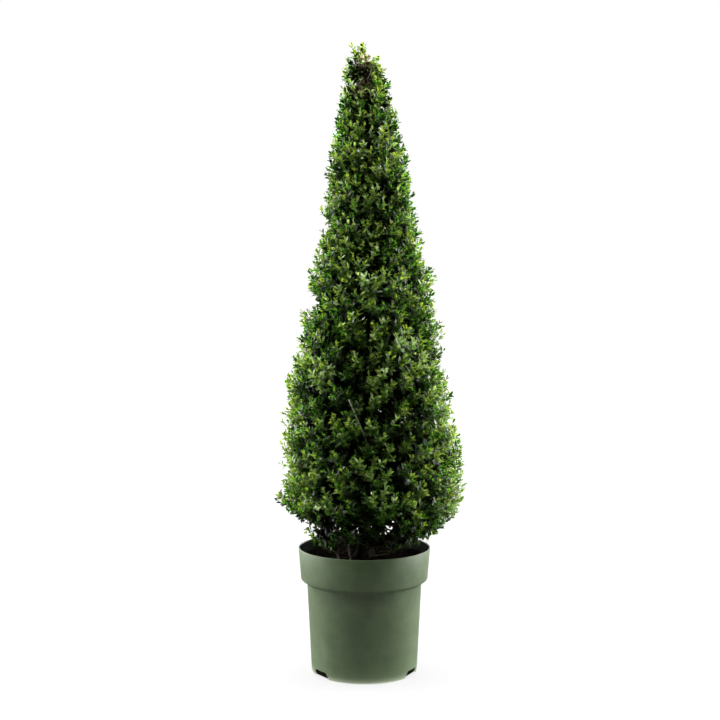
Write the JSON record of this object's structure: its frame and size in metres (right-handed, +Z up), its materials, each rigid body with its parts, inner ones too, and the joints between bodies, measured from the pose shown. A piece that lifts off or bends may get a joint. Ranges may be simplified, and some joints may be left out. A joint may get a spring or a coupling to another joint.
{
  "type": "potted topiary shrub",
  "caption": "Evergreen Japanese holly clipped to a slim leafy cone, growing in a round tapered nursery pot with a wide rim band and drain slots at its foot.",
  "frame": {"origin": "middle of the pot's flat underside, on the ground", "axes": "+Z up along the pot's axis, -Y towards the side seen first, +X to that viewer's right"},
  "size_m": [0.3535, 0.3715, 1.2626],
  "materials": {
    "pot_plastic": "satin grey-green moulded plastic, faintly scuffed",
    "potting_mix": "dark moist bark and peat crumbs",
    "bark": "smooth grey-brown bark with fine ridges",
    "foliage": "small glossy deep green leaves, yellow-green where the shoots are young"
  },
  "bodies": {
    "root": {"basal_shoot_1": "bark", "basal_shoot_2": "bark", "bough_crest_1": "bark", "bough_crest_2": "bark", "bough_lower_1": "bark", "bough_lower_2": "bark", "bough_lower_3": "bark", "bough_lower_4": "bark", "bough_middle_1": "bark", "bough_middle_2": "bark", "bough_middle_3": "bark", "bough_middle_4": "bark", "bough_shoulder_1": "bark", "bough_shoulder_2": "bark", "bough_shoulder_3": "bark", "bough_skirt_1": "bark", "bough_skirt_2": "bark", "bough_skirt_3": "bark", "bough_skirt_4": "bark", "bough_upper_1": "bark", "bough_upper_2": "bark", "bough_upper_3": "bark", "foliage_crest_1": "foliage", "foliage_crest_2": "foliage", "foliage_lower_1": "foliage", "foliage_lower_2": "foliage", "foliage_lower_3": "foliage", "foliage_lower_4": "foliage", "foliage_middle_1": "foliage", "foliage_middle_2": "foliage", "foliage_middle_3": "foliage", "foliage_middle_4": "foliage", "foliage_shoulder_1": "foliage", "foliage_shoulder_2": "foliage", "foliage_shoulder_3": "foliage", "foliage_skirt_1": "foliage", "foliage_skirt_2": "foliage", "foliage_skirt_3": "foliage", "foliage_skirt_4": "foliage", "foliage_tip": "foliage", "foliage_upper_1": "foliage", "foliage_upper_2": "foliage", "foliage_upper_3": "foliage", "pot": "pot_plastic", "soil": "potting_mix", "trunk": "bark"}
  },
  "joints": []
}
